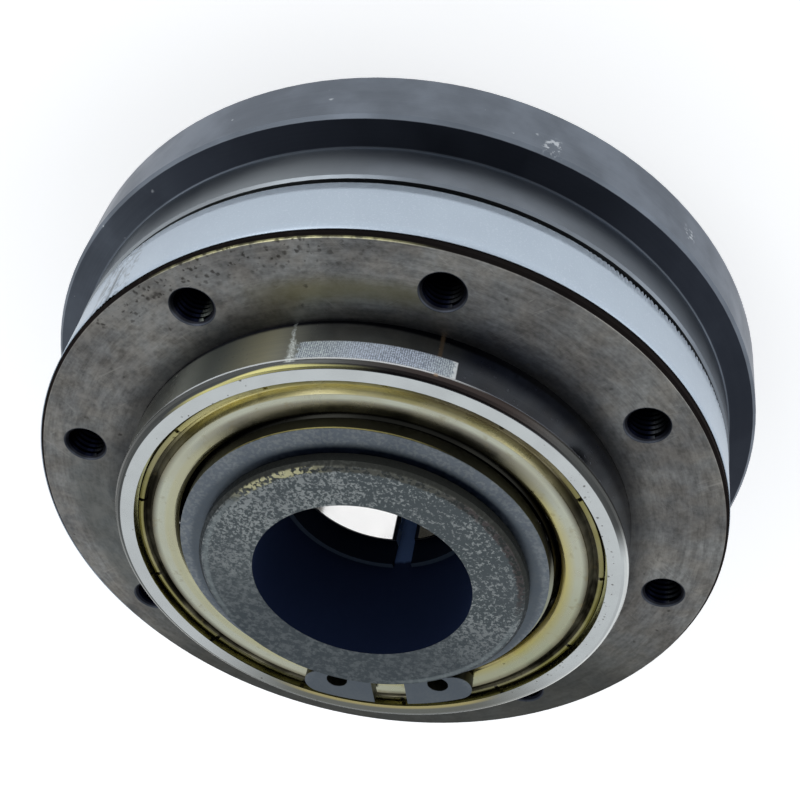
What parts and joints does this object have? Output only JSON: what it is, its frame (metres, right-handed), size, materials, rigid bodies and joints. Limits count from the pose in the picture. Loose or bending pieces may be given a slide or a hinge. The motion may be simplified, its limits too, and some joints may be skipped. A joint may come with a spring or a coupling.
{
  "type": "safety clutch",
  "caption": "Ball-detent safety clutch: slotted cone bushing in a flanged hub, output flange with tapped holes on a shielded ball bearing, spring-loaded switching ring and adjusting nut.",
  "frame": {"origin": "centre of the bushing's rear face, on which the clutch stands", "axes": "+Z along the shaft axis from the clamping end to the bearing end; +X through one of the tapped output holes"},
  "size_m": [0.092, 0.092, 0.055],
  "materials": {
    "phosphated_steel": "mottled phosphate",
    "bright_steel": "ground",
    "black_screw": "blackened",
    "turned_steel": "turned, lightly corroded",
    "foil_label": "matt foil",
    "ground_steel": "ground",
    "polished_steel": "polished",
    "pressed_steel": "pressed",
    "zinc_plate": "yellowish zinc plate",
    "spring_steel": "blued",
    "black_oxide": "black oxide",
    "brass": "plain"
  },
  "bodies": {
    "hub_body": {"hub": "phosphated_steel", "cone_bushing": "bright_steel", "bushing_screws": "black_screw", "retaining_ring": "spring_steel", "bearing_inner_ring": "ground_steel", "disc_spring_front": "spring_steel", "disc_spring_rear": "spring_steel"},
    "flange_body": {"output_flange": "turned_steel", "label_band": "foil_label", "bearing_outer_ring": "ground_steel", "front_shield": "zinc_plate", "rear_shield": "zinc_plate"},
    "cage_body": {"bearing_balls": "polished_steel", "cage_front_half": "pressed_steel", "cage_rear_half": "pressed_steel", "cage_rivets": "pressed_steel"},
    "ring_body": {"switching_ring": "black_oxide", "detent_balls": "polished_steel"},
    "nut_body": {"adjusting_nut": "black_oxide", "nut_locking_screws": "black_screw", "nut_pressure_pads": "brass"}
  },
  "joints": [
    {"name": "flange_spin", "type": "hinge", "parent": "hub_body", "child": "flange_body", "pos_m": [0, 0, 0.0395], "axis": [0, 0, 1], "continuous": true},
    {"name": "cage_spin", "type": "hinge", "parent": "hub_body", "child": "cage_body", "pos_m": [0, 0, 0.0455], "axis": [0, 0, 1], "continuous": true},
    {"name": "ring_slide", "type": "slide", "parent": "hub_body", "child": "ring_body", "axis": [0, 0, 1], "range_m": [0, 0.0009], "stiffness_N_per_m": 30000, "springref_m": 0.004, "deforming": ["disc_spring_front", "disc_spring_rear"]},
    {"name": "nut_turn", "type": "hinge", "parent": "hub_body", "child": "nut_body", "pos_m": [0, 0, 0.0123], "axis": [0, 0, 1], "range_deg": [-90, 90]}
  ],
  "couplings": [
    {"joint": "cage_spin", "follows": "flange_spin", "ratio": 0.56373}
  ]
}
